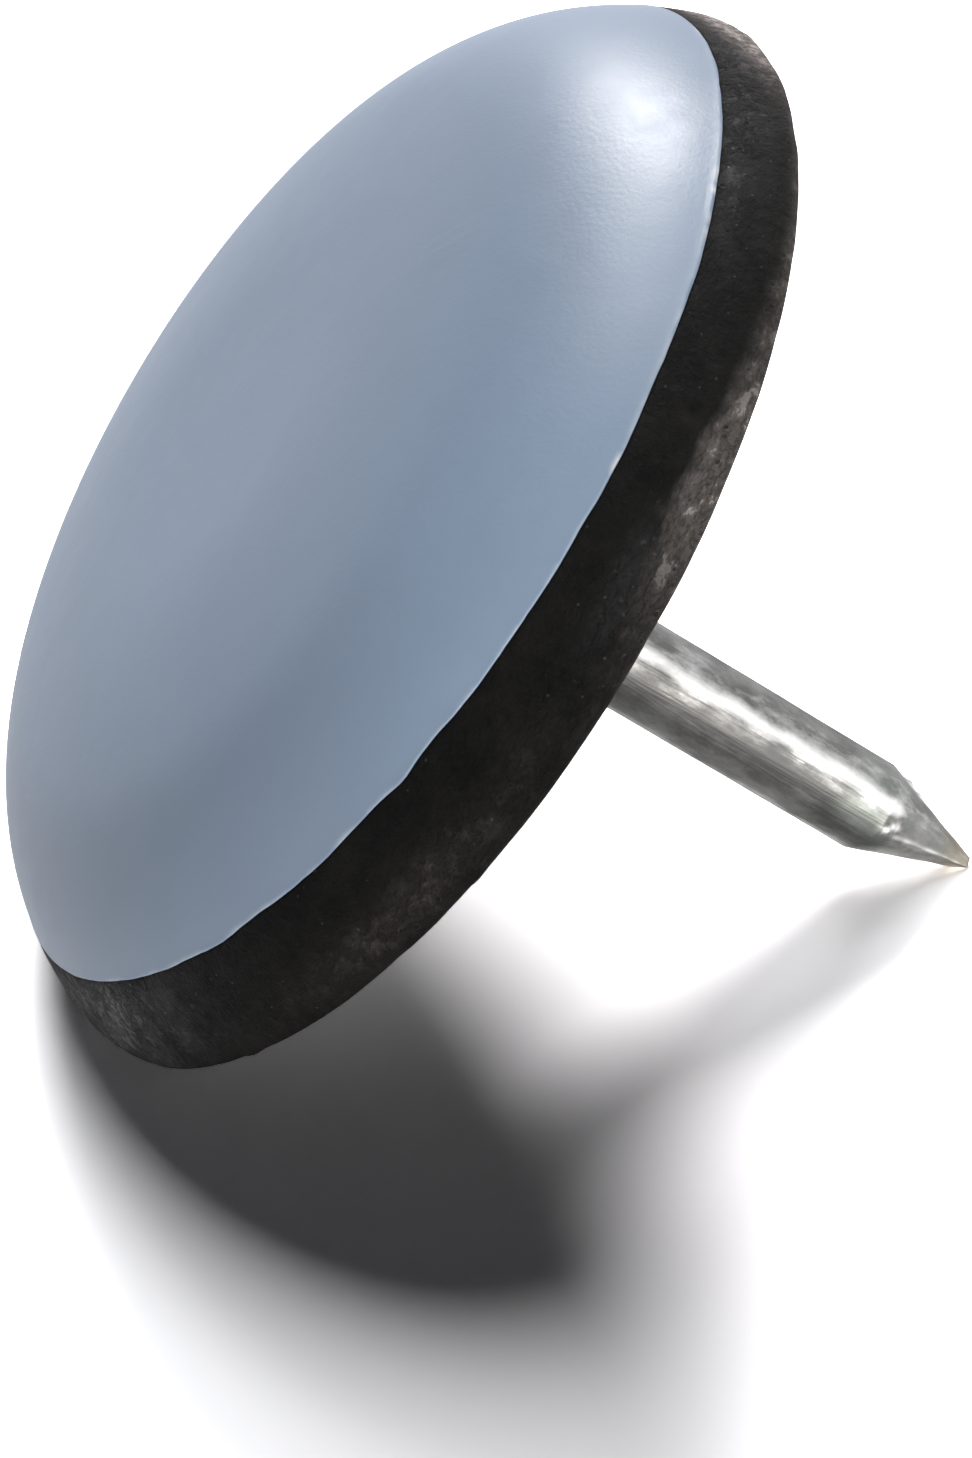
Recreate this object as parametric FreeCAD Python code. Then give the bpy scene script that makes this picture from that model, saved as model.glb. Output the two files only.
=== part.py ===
"""Nail-on furniture glide: a domed low-friction cap on a moulded rubber cushion, with a nail for the leg.

The sliding face looks down and rests on z = 0. The nail points up along +Z, and the origin lies on its
axis, in the middle of the sliding face. Lengths are in millimetres and angles in degrees.
"""
import FreeCAD, Part
import math
import os

# Outer form, which the cap and the cushion share; the rim is measured to its unbroken corner
rim_diameter = 25.0
body_height = 4.9
land_diameter = 6.5
crown_radius = 21.0
shoulder_radius = 6.0
rim_break = 0.2

# Low-friction cap, whose edge runs a little askew round the side
cap_wall = 1.2
seam_height = 3.2
seam_lean = 2.6
seam_lean_azimuth = -112.0

# Nail
shank_diameter = 2.15
shank_reach = 12.9
point_length = 3.0
point_tip_width = 0.25
point_turn = 36.0
neck_diameter = 3.4
head_diameter = 9.0
head_thickness = 0.9
head_cover = 0.5

up = FreeCAD.Vector(0, 0, 1)
origin = FreeCAD.Vector(0, 0, 0)


def at(radius, height):
    """A point of a half section, at this distance from the nail's axis."""
    return FreeCAD.Vector(radius, 0, height)


def toward(lean):
    """The unit vector in the half section that leans outward by this angle from straight down."""
    return FreeCAD.Vector(math.sin(math.radians(lean)), 0, -math.cos(math.radians(lean)))


def lean_of(vector):
    """The angle by which a vector of the half section leans outward from straight down."""
    return math.degrees(math.atan2(vector.x, -vector.z))


def arc(centre, radius, start, end):
    """An arc of a half section about a centre, from one lean to another."""
    points = [centre + toward(lean) * radius for lean in (start, (start + end) / 2, end)]
    return Part.Arc(*points).toShape()


def arcs(centre, radius, leans):
    """Arcs of a half section that follow each other about a centre, from lean to lean."""
    return [arc(centre, radius, start, end) for start, end in zip(leans, leans[1:])]


def path(*points):
    """Straight edges of a half section, from point to point."""
    return [Part.makeLine(start, end) for start, end in zip(points, points[1:])]


def turned(edges):
    """The solid that a closed half section makes when it is turned about the nail's axis."""
    face = Part.Face(Part.Wire(edges))
    return face.revolve(origin, up, 360)


def outer_crossing(first, first_radius, second, second_radius):
    """The point of the half section at these distances from two centres, on the side away from the axis."""
    between = second - first
    gap = between.Length
    along = (gap ** 2 + first_radius ** 2 - second_radius ** 2) / (2 * gap)
    across = math.sqrt(first_radius ** 2 - along ** 2)
    side = FreeCAD.Vector(between.z, 0, -between.x).normalize()
    return first + between * (along / gap) - side * across


# The shoulder's circle touches the crown's from within and passes through the corner of the rim
crown_centre = at(land_diameter / 2, crown_radius)
rim_corner = at(rim_diameter / 2, body_height)
shoulder_centre = outer_crossing(rim_corner, shoulder_radius, crown_centre, crown_radius - shoulder_radius)
blend_lean = lean_of(shoulder_centre - crown_centre)
rim_lean = lean_of(rim_corner - shoulder_centre)

# The flat floor of the dished cap ends here, where the crown passes into the shoulder
bed_edge = crown_centre + toward(blend_lean) * (crown_radius - cap_wall)


def shoulder_lean(height):
    """The lean at which the shoulder reaches this height."""
    return math.degrees(math.acos((shoulder_centre.z - height) / shoulder_radius))


def outer_form():
    """The turned form of the glide: a flat land, a shallow crown, and a shoulder that ends in a broken rim.

    The crown is laid in three lengths, and the shoulder in two that part just below the seam, because
    shorter lengths take fewer facets.
    """
    seam_low = seam_height - rim_diameter / 2 * math.tan(math.radians(seam_lean))
    crown_leans = [blend_lean * length / 3 for length in range(4)]
    shoulder_leans = [blend_lean, shoulder_lean(seam_low), shoulder_lean(body_height - rim_break)]
    crown = arcs(crown_centre, crown_radius, crown_leans)
    shoulder = arcs(shoulder_centre, shoulder_radius, shoulder_leans)
    side_end = shoulder_centre + toward(shoulder_leans[-1]) * shoulder_radius
    seat_edge = at(side_end.x - rim_break, body_height)
    return turned([
        *path(origin, at(land_diameter / 2, 0)),
        *crown,
        *shoulder,
        *path(side_end, seat_edge, at(0, body_height), origin),
    ])


def cushion_bed():
    """The rubber's place in the dished cap: a flat and two cones, set in by at least the cap's wall."""
    corner_lean = blend_lean + (rim_lean - blend_lean) / 3
    corner = shoulder_centre + toward(corner_lean) * (shoulder_radius - cap_wall)
    top = shoulder_centre + toward(rim_lean) * (shoulder_radius - cap_wall)
    centre = at(0, bed_edge.z)
    return turned(path(centre, bed_edge, corner, top, at(0, top.z), centre))


def seam_side():
    """The space on the cap's side of the seam, which is a plane that leans from level."""
    slope = math.tan(math.radians(seam_lean))
    azimuth = math.radians(seam_lean_azimuth)
    normal = FreeCAD.Vector(-slope * math.cos(azimuth), -slope * math.sin(azimuth), 1).normalize()
    depth = 2 * body_height
    return Part.makeCylinder(rim_diameter, depth, at(0, seam_height) - normal * depth, normal)


def nail_shape():
    """A flat head held in the rubber, a neck that tapers to the seat, a round shank and a cut point."""
    shank = shank_diameter / 2
    head = head_diameter / 2
    head_front = bed_edge.z + head_cover
    head_back = head_front + head_thickness
    shoulder = body_height + shank_reach
    blank = turned(path(
        at(0, head_front),
        at(head, head_front),
        at(head, head_back),
        at(neck_diameter / 2, head_back),
        at(shank, body_height),
        at(shank, shoulder),
        at(0, shoulder),
        at(0, head_front),
    ))
    return blank.fuse(nail_point(shank, shoulder)).removeSplitter()


def nail_point(radius, height):
    """The cut point: four arcs of the shank's circle drawn in to a small square, with four ridges between."""

    def corner(reach, quarter, level):
        angle = math.radians(point_turn + 90 * quarter)
        return FreeCAD.Vector(reach * math.cos(angle), reach * math.sin(angle), level)

    tip_height = height + point_length
    tip_reach = point_tip_width / math.sqrt(2)
    rounds = []
    sides = []
    for quarter in range(4):
        rounds.append(Part.Arc(*[corner(radius, quarter + step, height) for step in (0, 0.5, 1)]).toShape())
        sides.append(Part.makeLine(*[corner(tip_reach, quarter + step, tip_height) for step in (0, 1)]))
    return Part.makeLoft([Part.Wire(rounds), Part.Wire(sides)], True, True)


form = outer_form()
nail = nail_shape()
sliding_cap = form.common(seam_side()).cut(cushion_bed())
rubber_cushion = form.cut(sliding_cap).cut(nail)

os.makedirs("parts", exist_ok=True)
sliding_cap.exportStep("parts/sliding_cap.step")
rubber_cushion.exportStep("parts/rubber_cushion.step")
nail.exportStep("parts/nail.step")

for name, piece in (("sliding_cap", sliding_cap), ("rubber_cushion", rubber_cushion), ("nail", nail)):
    print(name, len(piece.Solids), piece.isValid(), round(piece.Volume, 3))
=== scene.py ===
import bmesh
import bpy
import functools
import math
import random
from mathutils import Matrix, Vector, noise


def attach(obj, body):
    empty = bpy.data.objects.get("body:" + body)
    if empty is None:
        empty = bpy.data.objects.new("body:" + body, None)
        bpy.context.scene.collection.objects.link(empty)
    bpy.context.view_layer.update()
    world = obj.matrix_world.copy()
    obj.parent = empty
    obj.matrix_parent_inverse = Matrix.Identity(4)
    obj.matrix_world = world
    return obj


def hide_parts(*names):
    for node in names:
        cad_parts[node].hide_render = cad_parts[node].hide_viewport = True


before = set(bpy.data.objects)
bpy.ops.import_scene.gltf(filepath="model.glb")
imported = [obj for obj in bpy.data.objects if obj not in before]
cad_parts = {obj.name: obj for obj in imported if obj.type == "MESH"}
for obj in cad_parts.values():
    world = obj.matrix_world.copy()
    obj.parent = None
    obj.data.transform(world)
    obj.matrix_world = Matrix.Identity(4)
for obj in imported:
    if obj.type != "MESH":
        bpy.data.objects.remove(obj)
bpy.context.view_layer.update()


# Sliding cap
# The real cap is a dished disc of blue-grey PTFE, moulded to the rubber behind it. Its face is domed and
# satin, faintly mottled, and its thin edge stands a hair proud of the rubber, with a few burrs.

# Lengths are in millimetres and angles in degrees. A lean is counted outward from straight down.
MM = 0.001
LAND_RADIUS = 3.25
CROWN_RADIUS = 21.0
SHOULDER_RADIUS = 6.0
SHOULDER_CENTRE = Vector((6.69, 0, 6.4))
BLEND_LEAN = 13.26
SIDE_LEAN = 72.6

# The seam between cap and rubber is a tilted plane, with a few steps. Here and below, each hump round the
# axis has its azimuth, width and size.
SEAM_HEIGHT = 3.2
SEAM_TILT = 2.6
SEAM_AZIMUTH = -112.0
SEAM_STEPS = ((65.6, 3.0, 0.025), (60.0, 3.0, -0.02), (37.5, 2.0, 0.05), (33.0, 3.0, -0.03))
LEVEL_LEAN = math.degrees(math.acos((SHOULDER_CENTRE.z - SEAM_HEIGHT) / SHOULDER_RADIUS))
GROOVE_RADIUS = SHOULDER_RADIUS - 0.05

# Whatever lies nearer than this to the shoulder's centre stays where it is when the seam is set askew
FIXED_WITHIN = 4.5

# The dish that holds the rubber, from its top down its two cones to the edge of its floor
DISH = ((10.0, SEAM_HEIGHT + 0.12, 3), (9.37, 2.42, 2), (7.79, 1.728, 3), (0, 1.728, 4))

# How far the cap's edge stands proud, and its rolled edge: the share of that at each point, and the
# point's lean short of the seam
CAP_LIP = 0.009
EDGE_ROLL = ((0.1, 1.9), (0.4, 1.2), (0.8, 0.7), (1.0, 0.4), (0.5, 0.15))

# Where the edge was torn from the mould's gate, and the pale burrs there
TORN_EDGE = ((-29.0, 3.0, 1.0), (3.0, 1.2, 0.5))
PALE_BURRS = ((-28.0, 7.0, 1.0), (1.3, 2.0, 0.7))

CAP_BLUE = (0.224, 0.303, 0.425, 1)
CAP_PALE_BLUE = (0.237, 0.320, 0.448, 1)
CAP_CLOUD = (0.213, 0.288, 0.408, 1)
# The edge line is painted paler, partly as wear and partly as a painted highlight along the raised edge
CAP_EDGE_WORN_AND_HIGHLIT = (0.55, 0.62, 0.70, 1)
CAP_BURR = (0.85, 0.87, 0.90, 1)


def section_point(centre, radius, lean):
    """The point of the half section at this distance and lean from a centre."""
    across, down = math.sin(math.radians(lean)), math.cos(math.radians(lean))
    return Vector((centre[0] + radius * across, 0, centre[2] - radius * down))


def on_shoulder(radius, lean):
    """The point of the half section at this distance and lean from the shoulder's centre."""
    return section_point(SHOULDER_CENTRE, radius, lean)


def arc(centre, radius, start, end, count):
    """Points of the half section along an arc, from one lean to another."""
    return [section_point(centre, radius, start + (end - start) * step / count) for step in range(count + 1)]


def path(start, *legs):
    """Points of the half section along straight legs, each with its end and its number of steps."""
    points = [Vector(start)]
    for radius, height, count in legs:
        begin, end = points[-1], Vector((radius, 0, height))
        points += [begin.lerp(end, step / count) for step in range(1, count + 1)]
    return points


def spun(points, steps):
    """A mesh that a half section makes when it is spun round the nail's axis."""
    bm = bmesh.new()
    verts = [bm.verts.new(point) for point in points]
    edges = [bm.edges.new(pair) for pair in zip(verts, verts[1:])]
    bmesh.ops.spin(
        bm, geom=verts + edges, cent=(0, 0, 0), axis=(0, 0, 1), angle=math.tau, steps=steps, use_merge=True
    )
    bmesh.ops.remove_doubles(bm, verts=bm.verts, dist=0.0005)
    return bm


def bell(offset, width):
    """A smooth hump, 1 at no offset and nearly 0 at twice the width."""
    return math.exp(-(offset / width) ** 2)


def azimuth_of(point):
    """The azimuth of a point round the nail's axis."""
    return round(math.degrees(math.atan2(point.y, point.x)), 3)


def azimuth_gap(first, second):
    """The signed angle from the second azimuth to the first."""
    return (first - second + 180) % 360 - 180


def humps(azimuth, places):
    """The sum of smooth humps round the axis."""
    return sum(size * bell(azimuth_gap(azimuth, centre), width) for centre, width, size in places)


def wander(azimuth, scale, seed):
    """Smooth noise round the rim, between -1 and 1, that closes on itself."""
    angle = math.radians(azimuth)
    return noise.fractal(Vector((math.cos(angle) * scale, math.sin(angle) * scale, seed)), 0.7, 2.1, 3)


def shoulder_place(point):
    """A point's distance from the nail's axis, and its distance and lean from the shoulder's centre."""
    reach = math.hypot(point.x, point.y)
    across = reach - SHOULDER_CENTRE.x
    down = SHOULDER_CENTRE.z - point.z
    return reach, math.hypot(across, down), math.degrees(math.atan2(across, down))


@functools.lru_cache(maxsize=None)
def seam_lean(azimuth):
    """Where the seam meets the shoulder at this azimuth: on its tilted plane, with small waves and steps."""
    slope = math.tan(math.radians(SEAM_TILT)) * math.cos(math.radians(azimuth - SEAM_AZIMUTH))
    waves = 0.03 * wander(azimuth, 3.0, 4.1) + 0.01 * wander(azimuth, 22.0, 9.7)
    lean = math.radians(58)
    for _ in range(6):
        reach = SHOULDER_CENTRE.x + SHOULDER_RADIUS * math.sin(lean)
        height = SEAM_HEIGHT + slope * reach + waves + humps(azimuth, SEAM_STEPS)
        lean = math.acos((SHOULDER_CENTRE.z - height) / SHOULDER_RADIUS)
    return math.degrees(lean)


def set_askew(bm):
    """Slides the wall round the shoulder so that the level seam of the half section runs along the real one."""
    for vert in bm.verts:
        reach, distance, lean = shoulder_place(vert.co)
        if distance < FIXED_WITHIN or not BLEND_LEAN < lean < SIDE_LEAN:
            continue
        fixed = BLEND_LEAN if lean <= LEVEL_LEAN else SIDE_LEAN
        seam = seam_lean(azimuth_of(vert.co))
        place = on_shoulder(distance, fixed + (lean - fixed) * (seam - fixed) / (LEVEL_LEAN - fixed))
        scale = place.x / reach
        vert.co = Vector((vert.co.x * scale, vert.co.y * scale, place.z))


def cap_section():
    """The cap's half section: land, crown, shoulder and rolled edge, then the dish that holds the rubber."""
    points = path((0, 0, 0), (LAND_RADIUS, 0, 5))
    points += arc((LAND_RADIUS, 0, CROWN_RADIUS), CROWN_RADIUS, 0, BLEND_LEAN, 14)[1:]
    points += arc(SHOULDER_CENTRE, SHOULDER_RADIUS, BLEND_LEAN, LEVEL_LEAN - 3.0, 26)[1:]
    points += [on_shoulder(SHOULDER_RADIUS + share * CAP_LIP, LEVEL_LEAN - short) for share, short in EDGE_ROLL]
    points += [on_shoulder(SHOULDER_RADIUS - 0.01, LEVEL_LEAN - 0.02)]
    return points + path(on_shoulder(GROOVE_RADIUS, LEVEL_LEAN), *DISH)


def edge_burrs(bm):
    """Frays the cap's edge: fine nibs all round, and larger burrs where the moulding was torn from its gate."""
    for vert in bm.verts:
        reach, distance, lean = shoulder_place(vert.co)
        if distance < SHOULDER_RADIUS + 0.6 * CAP_LIP or lean < 0:
            continue
        azimuth = azimuth_of(vert.co)
        fine = 0.012 * max(0, noise.noise(Vector((azimuth * 2.3, 0.4, 7.0))))
        torn = max(0, noise.noise(Vector((azimuth * 1.7, 3.1, 1.0))) + 0.15)
        out = fine + 0.11 * torn * humps(azimuth, TORN_EDGE)
        scale = (reach + out * math.sin(math.radians(lean))) / reach
        drop = 0.3 * out * math.cos(math.radians(lean))
        vert.co = Vector((vert.co.x * scale, vert.co.y * scale, vert.co.z - drop))


def cap_paint(point):
    """Red marks the edge line, painted paler as wear and as a painted highlight, and green the burrs."""
    reach, _, lean = shoulder_place(point)
    if reach < SHOULDER_CENTRE.x + 2:
        return 0.0, 0.0, 0.0
    azimuth = azimuth_of(point)
    edge = bell(lean - seam_lean(azimuth) + 0.3, 0.45)
    broken = max(0.0, 3.0 * noise.noise(Vector((azimuth * 0.63, 2.2, 0.0))))
    return edge, min(1.0, edge * humps(azimuth, PALE_BURRS) * broken), 0.0


def made(bm, name, node, material, paint):
    """The finished object: outward normals, paint, metres, smooth shading, and its place in the frame."""
    bmesh.ops.recalc_face_normals(bm, faces=bm.faces)
    layer = bm.verts.layers.float_color.new("paint")
    for vert in bm.verts:
        vert[layer] = (*paint(vert.co), 1.0)
    bmesh.ops.scale(bm, verts=bm.verts, vec=(MM, MM, MM))
    mesh = bpy.data.meshes.new(name)
    bm.to_mesh(mesh)
    bm.free()
    mesh.shade_smooth()
    mesh.materials.append(material)
    piece = bpy.data.objects.new(name, mesh)
    bpy.context.scene.collection.objects.link(piece)
    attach(piece, "root")
    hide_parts(node)


def shader(name):
    """A new material, its node tree and its main shader node."""
    material = bpy.data.materials.new(name)
    material.use_nodes = True
    return material, material.node_tree, material.node_tree.nodes["Principled BSDF"]


def put(tree, socket, value):
    """Gives an input a value, or links it to another node's output."""
    if isinstance(value, bpy.types.NodeSocket):
        tree.links.new(value, socket)
    else:
        socket.default_value = value


def add(tree, kind, inputs=None, **settings):
    """A shader node with these settings, whose inputs take values or other nodes' outputs."""
    item = tree.nodes.new(kind)
    for name, value in settings.items():
        setattr(item, name, value)
    for name, value in (inputs or {}).items():
        put(tree, item.inputs[name], value)
    return item


def paint_of(tree):
    """The three channels of the paint that a piece's own vertices carry."""
    colour = add(tree, "ShaderNodeVertexColor", layer_name="paint").outputs["Color"]
    return add(tree, "ShaderNodeSeparateColor", {"Color": colour}).outputs


def in_millimetres(tree, stretch=(1, 1, 1)):
    """The object's own coordinates, counted in millimetres and stretched."""
    place = add(tree, "ShaderNodeTexCoord").outputs["Object"]
    factors = [1000 * factor for factor in stretch]
    return add(tree, "ShaderNodeVectorMath", {0: place, 1: factors}, operation="MULTIPLY").outputs[0]


def grain(tree, scale, detail=4.0, rough=0.6, stretch=(1, 1, 1)):
    """Noise fixed to the object, with this many waves to the millimetre."""
    place = in_millimetres(tree, stretch)
    settings = {"Vector": place, "Scale": scale, "Detail": detail, "Roughness": rough}
    return add(tree, "ShaderNodeTexNoise", settings).outputs["Fac"]


def ranged(tree, value, low, high, start=0.0, end=1.0):
    """A value that runs from start to end while another runs from low to high."""
    settings = {"Value": value, "From Min": low, "From Max": high, "To Min": start, "To Max": end}
    return add(tree, "ShaderNodeMapRange", settings).outputs[0]


def mixed(tree, factor, first, second):
    """A colour between two, by a factor."""
    return add(tree, "ShaderNodeMix", {0: factor, 6: first, 7: second}, data_type="RGBA").outputs[2]


def reckoned(tree, operation, first, second):
    """The result of simple arithmetic on two values."""
    return add(tree, "ShaderNodeMath", {0: first, 1: second}, operation=operation).outputs[0]


def times(tree, first, second):
    """The product of two values."""
    return reckoned(tree, "MULTIPLY", first, second)


def plus(tree, first, second):
    """The sum of two values."""
    return reckoned(tree, "ADD", first, second)


def emboss(tree, main, height, strength, depth):
    """Gives a material the fine relief of a height, over a depth in metres."""
    bump = add(tree, "ShaderNodeBump", {"Height": height, "Strength": strength, "Distance": depth})
    tree.links.new(bump.outputs[0], main.inputs["Normal"])


cap_material, tree, main = shader("satin blue-grey PTFE")
edge, burr, _ = paint_of(tree)
mottle = ranged(tree, grain(tree, 0.35, 5.0, 0.65), 0.35, 0.65)
cloud = ranged(tree, grain(tree, 0.09, 2.0, 0.5), 0.3, 0.7)
# The edge line: paler wear, and a painted highlight
worn_and_highlit_edge = times(tree, edge, ranged(tree, grain(tree, 0.8, 3.0), 0.45, 0.65, 0.0, 0.5))
body = mixed(tree, mottle, CAP_BLUE, CAP_PALE_BLUE)
body = mixed(tree, times(tree, cloud, 0.4), body, CAP_CLOUD)
body = mixed(tree, worn_and_highlit_edge, body, CAP_EDGE_WORN_AND_HIGHLIT)
body = mixed(tree, times(tree, burr, 0.8), body, CAP_BURR)
put(tree, main.inputs["Base Color"], body)
put(tree, main.inputs["Roughness"], ranged(tree, grain(tree, 1.4, 4.0), 0.3, 0.7, 0.38, 0.44))
main.inputs["Specular IOR Level"].default_value = 0.68
emboss(tree, main, plus(tree, grain(tree, 9.0, 3.0), times(tree, grain(tree, 0.5, 2.0), 3.0)), 0.5, 0.00001)

cap = spun(cap_section(), 400)
set_askew(cap)
edge_burrs(cap)
made(cap, "sliding_cap_look", "sliding_cap", cap_material, cap_paint)


# Rubber cushion
# The real cushion is black rubber moulded behind the cap and round the nail's head. Its side goes on from
# the cap's shoulder to a worn rim, which has flash nibs, pits and scuffs. Its flat back seats on the leg.

BODY_HEIGHT = 4.9
FLAT_RADIUS = 11.6
SEAT_EDGE = 12.24
RIM_ROUND = ((0.06, 0.04), (0.13, 0.10), (0.165, 0.17))
HEAD_RADIUS = 4.5
HEAD_FRONT = 2.228
HEAD_BACK = 3.128
NECK_RADIUS = 1.7
SHANK_RADIUS = 1.075

# Nibs of flash on the rim, and the place where the rim is worn most
RIM_NIBS = (
    (73.2, 1.1, 0.10),
    (106.3, 1.0, 0.09),
    (40.0, 0.8, 0.13),
    (-62.0, 4.0, 0.05),
    (21.0, 0.7, 0.05),
    (132.0, 1.4, 0.07),
)
RIM_DENT = ((101.0, 7.0, 0.07),)
SCATTERED_PITS = 70

# The relief of the side begins at this reach from the axis, and is full a little further out
SIDE_START = 11.2
SIDE_FADE = 0.6

# The nick at the seam. One degree of the side there is this many millimetres.
NICK_AZIMUTH = 91.7
NICK_HEIGHT = 2.74
SIDE_DEGREE = 0.21

# The scuffed band on the side, which also carries a painted sheen, and the faint scuffs on the side that is out
# of sight
SCUFF_AND_SHEEN_BAND = ((0.0, 9.0, 0.95), (-6.0, 18.0, 0.35))
FAR_SCUFFS = ((200.0, 90.0, 0.5),)

# Each patch on the side has its azimuth, width, height, spread and strength
SCUFF_PATCHES = ((-28.0, 18.0, 4.78, 0.16, 0.5), (46.0, 14.0, 4.2, 0.4, 0.15))
# The torn flash at the top of the rim is painted pale, partly as flash and partly as a painted highlight where
# the back light grazes the rim
FLASH_AND_RIM_HIGHLIGHT_PATCHES = ((-68.0, 12.0, 4.6, 0.48, 3.0),)
DUST_PATCHES = (
    (98.0, 14.0, 3.4, 0.9, 1.6),
    (-46.0, 13.0, 3.9, 0.45, 0.34),
    (11.0, 8.0, 4.1, 0.35, 0.2),
    (-34.0, 10.0, 3.5, 0.25, 0.5),
)

RUBBER_BLACK = (0.0050, 0.0050, 0.0050, 1)
RUBBER_WORN = (0.0115, 0.0110, 0.0107, 1)
# Scuffed grey, also a painted sheen on the band by the back edge
SCUFF_AND_SHEEN_GREY = (0.310, 0.285, 0.272, 1)
DUST_GREY = (0.170, 0.170, 0.178, 1)
# Pale torn flash, also a painted rim highlight
TORN_FLASH_AND_RIM_HIGHLIGHT = (0.80, 0.72, 0.69, 1)
FLECK_GREY = (0.24, 0.24, 0.25, 1)
# A painted highlight on the pit rims, and painted shade in the pits
PAINTED_PIT_RIM_HIGHLIGHT = (0.160, 0.155, 0.150, 1)
PAINTED_PIT_SHADE = (0.003, 0.003, 0.003, 1)


def rubber_section():
    """The cushion's half section: the nail head's cavity, seat, rim, side, seam, and the plug in the dish."""
    points = path(
        (0, 0, HEAD_FRONT),
        (HEAD_RADIUS, HEAD_FRONT, 2),
        (HEAD_RADIUS, HEAD_BACK, 1),
        (NECK_RADIUS, HEAD_BACK, 2),
        (SHANK_RADIUS + 0.01, BODY_HEIGHT - 0.08, 3),
        (SHANK_RADIUS + 0.12, BODY_HEIGHT, 2),
        (FLAT_RADIUS, BODY_HEIGHT, 26),
        (SEAT_EDGE - 0.05, BODY_HEIGHT - 0.01, 6),
    )
    points += [Vector((SEAT_EDGE + reach, 0, BODY_HEIGHT - drop)) for reach, drop in RIM_ROUND]
    points += arc(SHOULDER_CENTRE, SHOULDER_RADIUS, SIDE_LEAN, LEVEL_LEAN + 0.5, 34)
    points += [on_shoulder(SHOULDER_RADIUS - 0.02, LEVEL_LEAN + 0.1)]
    return points + path(on_shoulder(GROOVE_RADIUS, LEVEL_LEAN), *DISH)


def pits(count, seed):
    """Small pits, half of them in the scuffed part of the side: azimuth, height, radius and depth of each."""
    dice = random.Random(seed)
    scuffed = []
    for _ in range(count):
        place = dice.gauss(6.0, 9.0), dice.uniform(3.6, 4.75)
        scuffed.append((*place, dice.uniform(0.06, 0.17), dice.uniform(0.01, 0.04)))
    spread = []
    for _ in range(count):
        place = dice.uniform(-180, 180), dice.uniform(3.3, 4.8)
        spread.append((*place, dice.uniform(0.05, 0.12), dice.uniform(0.005, 0.02)))
    return scuffed + spread


def roughen_rubber(bm):
    """Nibs of flash and a worn rim, pits and scuffs on the side, and a nick at the seam."""
    marks = pits(SCATTERED_PITS, 5)
    for vert in bm.verts:
        point = vert.co.copy()
        reach = math.hypot(point.x, point.y)
        if reach <= SIDE_START:
            continue
        azimuth = azimuth_of(point)
        outward = Vector((point.x, point.y, 0)) / reach
        low = 0.012 * wander(azimuth, 6.0, 2.0) + 0.01 * noise.noise(point * 1.6)
        worn = 0.03 * max(0.0, wander(azimuth, 5.0, 8.0) + 0.2) + humps(azimuth, RIM_DENT)
        worn *= bell(point.z - BODY_HEIGHT + 0.1, 0.35)
        nib = humps(azimuth, RIM_NIBS) * (0.7 + 0.5 * noise.noise(point * 9))
        nib *= bell(point.z - BODY_HEIGHT + 0.12, 0.12)
        pit = 0.0
        for centre, height, radius, depth in marks:
            gap = azimuth_gap(azimuth, centre) * math.pi / 180 * reach
            if abs(gap) < 2 * radius and abs(point.z - height) < 2 * radius:
                pit += depth * bell(math.hypot(gap, point.z - height), radius)
        nick = 0.08 * bell(azimuth_gap(azimuth, NICK_AZIMUTH) * SIDE_DEGREE, 0.16)
        nick *= bell(point.z - NICK_HEIGHT, 0.12)
        side = min(1.0, (reach - SIDE_START) / SIDE_FADE)
        vert.co = point + outward * side * (low - worn + nib - pit - nick) - Vector((0, 0, 0.35 * worn * side))


def patches(point, places):
    """The sum of soft patches at a point."""
    azimuth = azimuth_of(point)
    return sum(
        strength * bell(azimuth_gap(azimuth, centre), width) * bell(point.z - height, spread)
        for centre, width, height, spread, strength in places
    )


def rubber_paint(point):
    """Red is the scuffed stripe by the back edge, which also carries a painted sheen, green the grey mottled
    patches, blue the pale torn rim with a painted highlight.
    """
    azimuth = azimuth_of(point)
    reach = math.hypot(point.x, point.y)
    if reach < 10.4 or point.z < 2.5:
        return 0.0, 0.0, 0.0
    ragged = 3.95 + 0.02 * abs(azimuth_gap(azimuth, 4.0)) + 0.10 * wander(azimuth, 16.0, 5.5)
    # Scuffs, and a painted sheen on the band by the back edge
    scuffs_and_sheen = humps(azimuth, SCUFF_AND_SHEEN_BAND) + max(0.0, wander(azimuth, 4.0, 12.5)) * humps(azimuth, FAR_SCUFFS)
    scuff_and_sheen_band = scuffs_and_sheen * min(1.0, max(0.0, (point.z - ragged) / 0.3)) + patches(point, SCUFF_PATCHES)
    side = min(1.0, max(0.0, (reach - 11.9) / 0.3)) if point.z > 4.7 else 1.0
    marks = scuff_and_sheen_band, patches(point, DUST_PATCHES), patches(point, FLASH_AND_RIM_HIGHLIGHT_PATCHES)
    return [min(1, mark * side) for mark in marks]


def spots(tree, scale, size, share):
    """Small round spots scattered in space, 1 in the middle of each. Only this share of the cells has one."""
    cells = add(tree, "ShaderNodeTexVoronoi", {"Vector": in_millimetres(tree), "Scale": scale})
    draw = add(tree, "ShaderNodeSeparateColor", {"Color": cells.outputs["Color"]}).outputs[0]
    spot = ranged(tree, cells.outputs["Distance"], 0.6 * size, size, 1.0, 0.0)
    return times(tree, spot, reckoned(tree, "LESS_THAN", draw, share))


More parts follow.
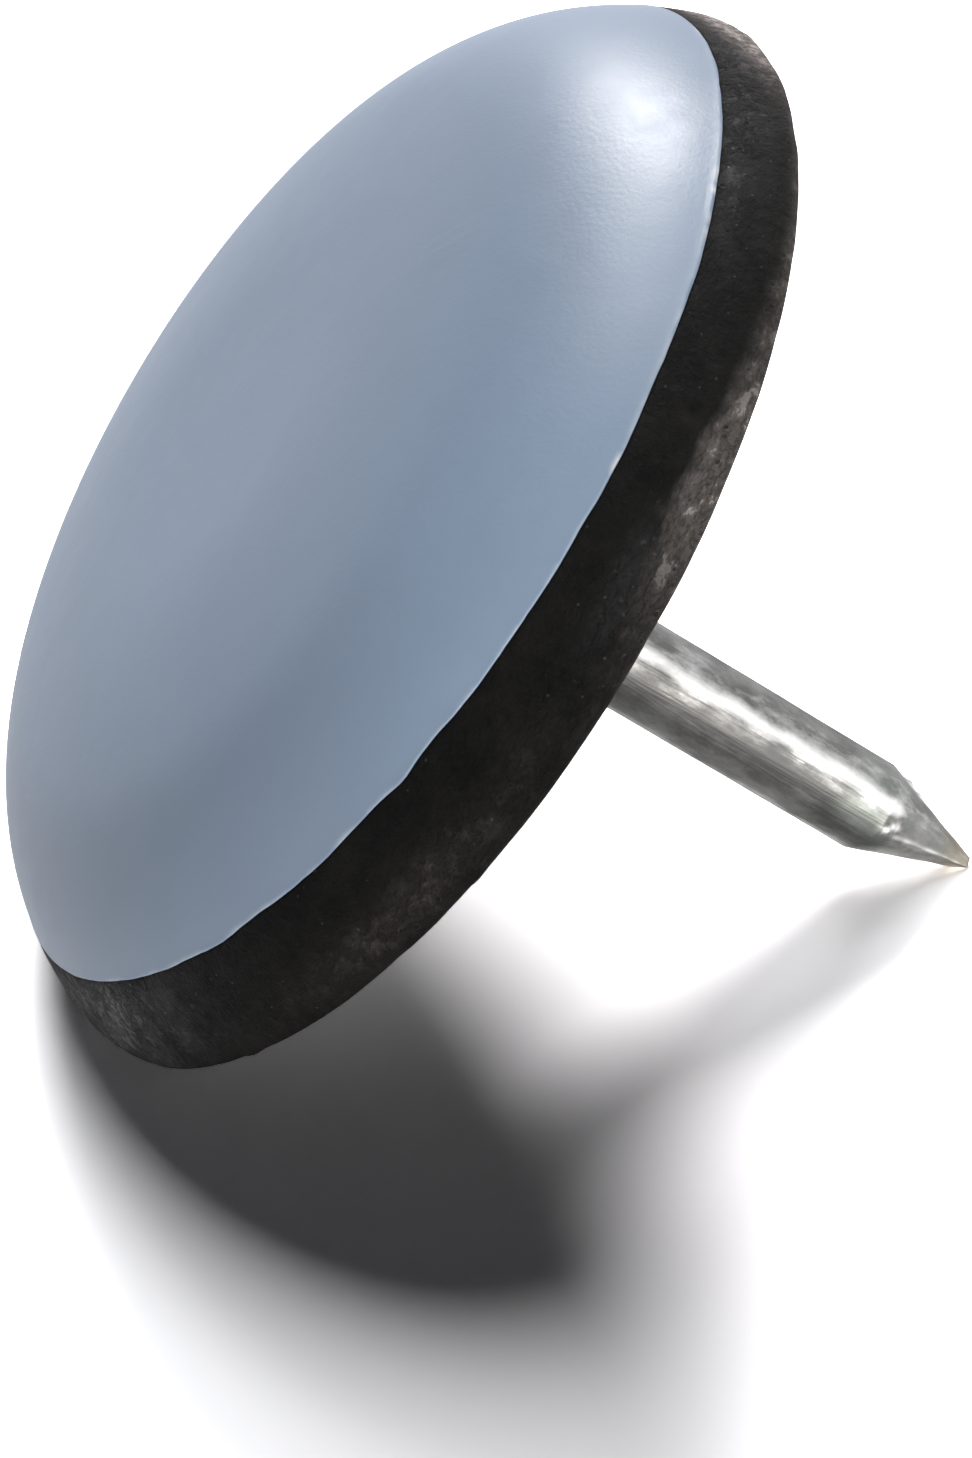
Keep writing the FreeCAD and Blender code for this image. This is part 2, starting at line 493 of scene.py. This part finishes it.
rubber_material, tree, main = shader("black moulded rubber")
scuff_and_sheen_band, dust, flash_and_rim_highlight = paint_of(tree)
speckle = ranged(tree, grain(tree, 3.2, 6.0, 0.75), 0.42, 0.64)
blotch = ranged(tree, grain(tree, 0.9, 5.0, 0.7), 0.38, 0.66)
wrinkle = ranged(tree, grain(tree, 3.4, 6.0, 0.7, (1.0, 0.5, 1.0)), 0.43, 0.59)
zone = reckoned(tree, "MINIMUM", plus(tree, plus(tree, dust, scuff_and_sheen_band), 0.12), 1.0)
pitted = reckoned(tree, "MINIMUM", times(tree, reckoned(tree, "SUBTRACT", zone, 0.12), 2.5), 1.0)
pit = times(tree, spots(tree, 4.4, 0.24, 0.35), pitted)
# A painted highlight round each pit's rim and painted shade in its hollow, besides the bumped relief
pit_rim_highlight_mask = reckoned(tree, "SUBTRACT", times(tree, spots(tree, 4.4, 0.40, 0.35), pitted), pit)
pit_rim_highlight_mask = times(tree, pit_rim_highlight_mask, ranged(tree, grain(tree, 7.0, 2.0), 0.47, 0.6))
body = mixed(tree, blotch, RUBBER_BLACK, RUBBER_WORN)
# The scuffed band, also a painted sheen
body = mixed(tree, times(tree, scuff_and_sheen_band, plus(tree, times(tree, wrinkle, 0.65), 0.35)), body, SCUFF_AND_SHEEN_GREY)
body = mixed(tree, times(tree, dust, ranged(tree, blotch, 0.0, 1.0, 0.25, 1.0)), body, DUST_GREY)
# The torn flash, also a painted rim highlight
body = mixed(tree, times(tree, flash_and_rim_highlight, ranged(tree, speckle, 0.15, 0.85, 0.25, 1.0)), body, TORN_FLASH_AND_RIM_HIGHLIGHT)
body = mixed(tree, times(tree, spots(tree, 3.6, 0.13, 0.4), zone), body, FLECK_GREY)
body = mixed(tree, times(tree, pit_rim_highlight_mask, 0.8), body, PAINTED_PIT_RIM_HIGHLIGHT)
body = mixed(tree, times(tree, pit, 0.5), body, PAINTED_PIT_SHADE)
put(tree, main.inputs["Base Color"], body)
put(tree, main.inputs["Roughness"], ranged(tree, speckle, 0.0, 1.0, 0.46, 0.66))
main.inputs["Specular IOR Level"].default_value = 0.05
height = plus(tree, grain(tree, 4.5, 6.0, 0.7), times(tree, grain(tree, 14.0, 2.0), 0.4))
height = plus(tree, height, times(tree, wrinkle, times(tree, zone, 2.2)))
height = reckoned(tree, "SUBTRACT", height, times(tree, pit, 1.2))
emboss(tree, main, height, 1.0, 0.0001)

rubber = spun(rubber_section(), 560)
set_askew(rubber)
roughen_rubber(rubber)
made(rubber, "rubber_cushion_look", "rubber_cushion", rubber_material, rubber_paint)


# Nail
# The real nail is drawn steel wire with bright zinc plate. Its flat head is moulded into the rubber, and
# its point is cut from four sides, which leaves ridges, burrs and a small blunt tip.

HEAD_CORNER = 0.08
HEAD_EDGE_FRONT = 2.32
HEAD_EDGE_BACK = 3.04
SHANK_END = 17.8
TIP_HEIGHT = 20.8
TIP_WIDTH = 0.25
POINT_TURN = 36.0

# Each burr at the point, as a patch, and the wider painted sheen round it
POINT_BURRS = (
    (-60.0, 5.0, 18.35, 0.12, 0.08),
    (-60.0, 4.0, 18.75, 0.12, 0.05),
    (33.0, 5.0, 18.0, 0.12, 0.05),
    (24.0, 4.0, 18.15, 0.12, 0.03),
)
BURR_SHEEN = [(azimuth, 1.6 * width, height, 0.16, 1.0) for azimuth, width, height, _, _ in POINT_BURRS]

# The streaks that run along the shank, mostly painted reflections: dark where the shank mirrors shade and dark
# surroundings, bright where it mirrors lamps and lit floor. The facets of the point carry painted highlights.
# Those that drift swing about their azimuth with the height.
PAINTED_DARK_STREAKS = ((29.0, 15.0, 0.95),)
DULL_AND_PAINTED_DARK_DRIFTING = ((-76.0, 17.0, 1.0), (54.0, 15.0, 0.35), (165.0, 30.0, 0.6))
PAINTED_BRIGHT_STREAKS = ((92.0, 11.0, 0.45),)
BRIGHT_DRIFTING = ((218.0, 14.0, 0.7),)
PAINTED_FACET_HIGHLIGHTS = ((80.0, 40.0, 0.8), (-20.0, 12.0, 0.35))

ZINC_DARK = (0.155, 0.157, 0.154, 1)
ZINC_GREY = (0.31, 0.312, 0.31, 1)
# Dull plate, also painted dark reflections on the shank
ZINC_DULL_AND_DARK_REFLECTION = (0.090, 0.090, 0.090, 1)
ZINC_GREEN = (0.26, 0.30, 0.27, 1)
# Bright plate, also painted highlights and reflections
ZINC_BURNISHED_AND_HIGHLIGHT = (0.84, 0.84, 0.84, 1)
TIP_GOLD = (0.50, 0.42, 0.29, 1)
# Bright burrs, also painted glints on the ridges
BURR_AND_GLINT_WHITE = (0.95, 0.95, 0.95, 1)


def nail_section():
    """The nail's half section: head, tapered neck, shank, and a straight blank from which the point is cut."""
    return path(
        (0, 0, HEAD_FRONT),
        (HEAD_RADIUS - HEAD_CORNER, HEAD_FRONT, 3),
        (HEAD_RADIUS, HEAD_EDGE_FRONT, 1),
        (HEAD_RADIUS, HEAD_EDGE_BACK, 1),
        (HEAD_RADIUS - HEAD_CORNER, HEAD_BACK, 1),
        (NECK_RADIUS, HEAD_BACK, 3),
        (SHANK_RADIUS, BODY_HEIGHT, 4),
        (SHANK_RADIUS, SHANK_END - 0.04, 90),
        (SHANK_RADIUS, SHANK_END + 0.04, 2),
        (SHANK_RADIUS, TIP_HEIGHT, 40),
        (0, TIP_HEIGHT, 2),
    )


def tip_corner(quarter):
    """A corner of the small square at the tip, counted in quarter turns."""
    angle = math.radians(POINT_TURN + 90 * quarter)
    return Vector((math.cos(angle), math.sin(angle), 0)) * TIP_WIDTH / math.sqrt(2)


def cut_point(bm):
    """Draws the blank's end in from its round to a small square, so that four ridges run down to the tip."""
    for vert in bm.verts:
        if vert.co.z <= SHANK_END:
            continue
        part = (vert.co.z - SHANK_END) / (TIP_HEIGHT - SHANK_END)
        turn = (azimuth_of(vert.co) - POINT_TURN) % 360
        quarter = math.floor(turn / 90)
        square = tip_corner(quarter).lerp(tip_corner(quarter + 1), turn / 90 - quarter)
        round_place = Vector((vert.co.x, vert.co.y, 0))
        place = round_place.lerp(square * round_place.length / SHANK_RADIUS, part)
        vert.co = Vector((place.x, place.y, vert.co.z))


def mark_nail(bm):
    """Slight waves left by drawing, and burrs where the point was cut."""
    for vert in bm.verts:
        point = vert.co.copy()
        reach = math.hypot(point.x, point.y)
        if point.z < BODY_HEIGHT + 0.2 or reach < 0.02:
            continue
        outward = Vector((point.x, point.y, 0)) / reach
        out = 0.005 * noise.noise(Vector((point.x, point.y, point.z * 0.8))) + 0.002 * noise.noise(point * 4)
        if point.z > SHANK_END - 0.3:
            out += 0.015 * noise.noise(Vector((point.x * 3, point.y * 3, point.z * 2)))
        out += patches(point, POINT_BURRS)
        vert.co = point + outward * out * min(1.0, reach / 0.3)


def nail_paint(point):
    """Red marks duller streaks and painted dark reflections, green the bright burrs and painted glints on the
    ridges, blue bright streaks and painted highlights.
    """
    azimuth = azimuth_of(point)
    drift = 7.0 * noise.noise(Vector((0.3, 1.7, point.z * 0.9)))
    drifted = azimuth + drift
    burr = patches(point, BURR_SHEEN) * (0.55 + noise.noise(point * 7.0))
    if point.z > SHANK_END + 0.1:
        # Painted glints along the ridges of the point
        ridge = bell((azimuth_gap(azimuth, POINT_TURN) + 45) % 90 - 45, 5.0)
        burr += ridge * max(0.0, 0.35 + 1.2 * noise.noise(point * 3.5 + Vector((0, 0, 3.0))))
    # Duller streaks and painted dark reflections
    dull_and_dark_reflection = humps(azimuth, PAINTED_DARK_STREAKS) + humps(drifted, DULL_AND_PAINTED_DARK_DRIFTING)
    # A painted highlight streak along the shank, where it mirrors a lamp, and a fainter one beside it
    middle = -6.0 + 0.55 * (point.z - BODY_HEIGHT)
    bright = bell(azimuth_gap(azimuth + 0.6 * drift, middle), 11.0)
    bright += 0.38 * bell(azimuth_gap(azimuth, middle - 24.0), 14.0)
    bright += humps(azimuth, PAINTED_BRIGHT_STREAKS) + humps(drifted, BRIGHT_DRIFTING)
    shank = 1.0 if point.z < SHANK_END else bell(point.z - SHANK_END, 0.5)
    # The point's facets take painted highlights
    bright = bright * shank + humps(azimuth, PAINTED_FACET_HIGHLIGHTS) * (1 - shank)
    return min(1.0, dull_and_dark_reflection * shank), min(1.0, max(0.0, burr)), min(1.0, bright)


nail_material, tree, main = shader("bright zinc plate")
dull_and_dark_reflection, burr, bright = paint_of(tree)
drawn = ranged(tree, grain(tree, 5.0, 4.0, 0.6, (1, 1, 0.12)), 0.35, 0.65)
cloudy = ranged(tree, grain(tree, 1.3, 5.0, 0.68, (1, 1, 0.5)), 0.36, 0.64)
dull_and_dark_reflection = ranged(tree, reckoned(tree, "SUBTRACT", dull_and_dark_reflection, times(tree, cloudy, 0.35)), 0.0, 0.65)
fray = plus(tree, ranged(tree, cloudy, 0.0, 1.0, -0.18, 0.18), ranged(tree, drawn, 0.0, 1.0, -0.08, 0.08))
rise = add(tree, "ShaderNodeSeparateXYZ", {0: add(tree, "ShaderNodeTexCoord").outputs["Object"]}).outputs[2]
body = mixed(tree, cloudy, ZINC_DARK, ZINC_GREY)
# Duller plate, also painted dark reflections
body = mixed(tree, dull_and_dark_reflection, body, ZINC_DULL_AND_DARK_REFLECTION)
body = mixed(tree, ranged(tree, grain(tree, 0.5, 2.0, 0.5), 0.52, 0.66, 0.0, 0.3), body, ZINC_GREEN)
# Bright streaks, also painted highlights and reflections
body = mixed(tree, ranged(tree, plus(tree, bright, fray), 0.25, 0.95), body, ZINC_BURNISHED_AND_HIGHLIGHT)
body = mixed(tree, ranged(tree, rise, 0.0196, 0.0204, 0.0, 0.35), body, TIP_GOLD)
# Bright burrs, also painted glints on the ridges
body = mixed(tree, burr, body, BURR_AND_GLINT_WHITE)
put(tree, main.inputs["Base Color"], body)
put(tree, main.inputs["Roughness"], ranged(tree, cloudy, 0.0, 1.0, 0.50, 0.38))
main.inputs["Metallic"].default_value = 1.0
height = plus(tree, grain(tree, 12.0, 3.0, 0.6, (1, 1, 0.05)), times(tree, grain(tree, 3.0, 4.0, 0.6), 0.5))
emboss(tree, main, height, 0.5, 0.00002)

nail = spun(nail_section(), 128)
cut_point(nail)
mark_nail(nail)
made(nail, "nail_look", "nail", nail_material, nail_paint)


# Floor, light and camera
# The glide lies as a tack does, on the back edge of its rim and on the nail's tip. The floor is white and
# wide. Four soft lamps stand behind and above, three low cards light the front and side, and a snooted
# lamp lights the near side of the cap and the rubber. The world adds a faint fill.

FLOOR_NORMAL = Vector((0.55589, -0.55589, -0.61804))
FLOOR_ALONG = Vector((0.43702, -0.43702, 0.78615))
FLOOR_ACROSS = FLOOR_NORMAL.cross(FLOOR_ALONG)
CONTACT = Vector((-8.8388, 8.8388, 4.9))
SNOOT_AIM = Vector((9.9, 2.6, 2.0))
SNOOT_DISTANCE = 0.15

# The photo's camera, fitted to the outline
CAMERA_PLACE = Vector((71.74, 22.113, -26.386))
CAMERA_RIGHT = Vector((0.48353, -0.38630, 0.78548))
CAMERA_UP = Vector((0.02063, -0.89207, -0.45142))

FLOOR_WHITE = (2.85, 2.85, 2.92, 1)
FLOOR_MIRRORED = (1.1, 1.1, 1.1, 1)
FLOOR_PALE = (0.9, 0.9, 0.9, 1)
FAINT_FILL = (0.004, 0.004, 0.005, 1)
WHITE = (1, 1, 1, 1)
ROSE_TINT = (1, 0.97, 0.965)
WARM_TINT = (1, 0.96, 0.9)
SNOOT_TINT = (1, 0.98, 0.95)


def toward(heading, height):
    """The direction at this heading and height. Headings are counted on the floor from the nail's tip."""
    level = FLOOR_ALONG * math.cos(math.radians(heading)) + FLOOR_ACROSS * math.sin(math.radians(heading))
    return level * math.cos(math.radians(height)) + FLOOR_NORMAL * math.sin(math.radians(height))


def lamp_from(name, kind, direction, energy, colour):
    """A lamp that shines from a direction, and the object that holds it."""
    lamp = bpy.data.lights.new(name, kind)
    lamp.energy = energy
    lamp.color = colour
    holder = bpy.data.objects.new(name, lamp)
    bpy.context.scene.collection.objects.link(holder)
    holder.rotation_euler = direction.to_track_quat("Z", "Y").to_euler()
    return lamp, holder


def soft_sun(name, heading, height, spread, energy, colour=(1, 1, 1)):
    """A distant lamp, as soft as its spread."""
    lamp, _ = lamp_from(name, "SUN", toward(heading, height), energy, colour)
    lamp.angle = math.radians(spread)


bm = bmesh.new()
bmesh.ops.create_grid(bm, x_segments=1, y_segments=1, size=3.0)
floor_mesh = bpy.data.meshes.new("floor")
bm.to_mesh(floor_mesh)
bm.free()
floor = bpy.data.objects.new("floor", floor_mesh)
bpy.context.scene.collection.objects.link(floor)
turn = Matrix((FLOOR_ALONG, FLOOR_ACROSS, FLOOR_NORMAL)).transposed().to_4x4()
floor.matrix_world = Matrix.Translation((CONTACT - FLOOR_NORMAL * 0.03) * MM) @ turn

floor_material, tree, main = shader("white floor")
rays = add(tree, "ShaderNodeLightPath").outputs
mirrored = reckoned(tree, "MAXIMUM", rays["Is Glossy Ray"], rays["Is Transmission Ray"])
shade = mixed(tree, rays["Is Camera Ray"], mixed(tree, mirrored, FLOOR_PALE, FLOOR_MIRRORED), FLOOR_WHITE)
plain = add(tree, "ShaderNodeBsdfDiffuse", {"Color": shade}).outputs[0]
clear = add(tree, "ShaderNodeBsdfTransparent").outputs[0]
behind = add(tree, "ShaderNodeNewGeometry").outputs["Backfacing"]
hidden = times(tree, behind, rays["Is Camera Ray"])
choice = add(tree, "ShaderNodeMixShader", {0: hidden, 1: plain, 2: clear})
tree.links.new(choice.outputs[0], tree.nodes["Material Output"].inputs["Surface"])
tree.nodes.remove(main)
floor_mesh.materials.append(floor_material)

soft_sun("back light", 89, 42, 14, 1.55, ROSE_TINT)
soft_sun("lower back light", 98, 30.5, 13, 0.75, ROSE_TINT)
soft_sun("high back light", 97, 56.4, 22, 0.5)
soft_sun("overhead light", 110, 76, 28, 0.78)
soft_sun("left front card", 276, 0.3, 0.6, 0.9, WARM_TINT)
soft_sun("right front card", 300, 0.3, 0.6, 1.5, WARM_TINT)
soft_sun("side card", 349, 1.0, 2, 0.22)

snoot_way = toward(290, 42)
snoot, holder = lamp_from("snooted front lamp", "SPOT", snoot_way, 0.22, SNOOT_TINT)
snoot.spot_size = math.radians(5.4)
snoot.spot_blend = 1.0
snoot.shadow_soft_size = 0.004
holder.location = SNOOT_AIM * MM + snoot_way * SNOOT_DISTANCE

world = bpy.data.worlds.new("studio")
bpy.context.scene.world = world
world.use_nodes = True
tree = world.node_tree
rays = add(tree, "ShaderNodeLightPath").outputs
direct = reckoned(tree, "MAXIMUM", rays["Is Camera Ray"], rays["Is Glossy Ray"])
direct = reckoned(tree, "MAXIMUM", direct, rays["Is Transmission Ray"])
put(tree, tree.nodes["Background"].inputs["Color"], mixed(tree, direct, FAINT_FILL, WHITE))

camera_data = bpy.data.cameras.new("camera")
camera_data.lens = 95.35
camera_data.sensor_width = 36.0
camera_data.clip_start = 0.001
camera_data.clip_end = 20.0
camera = bpy.data.objects.new("camera", camera_data)
bpy.context.scene.collection.objects.link(camera)
aim = Matrix((CAMERA_RIGHT, CAMERA_UP, CAMERA_RIGHT.cross(CAMERA_UP))).transposed().to_4x4()
camera.matrix_world = Matrix.Translation(CAMERA_PLACE * MM) @ aim
bpy.context.scene.camera = camera
bpy.context.scene.view_settings.view_transform = "Standard"
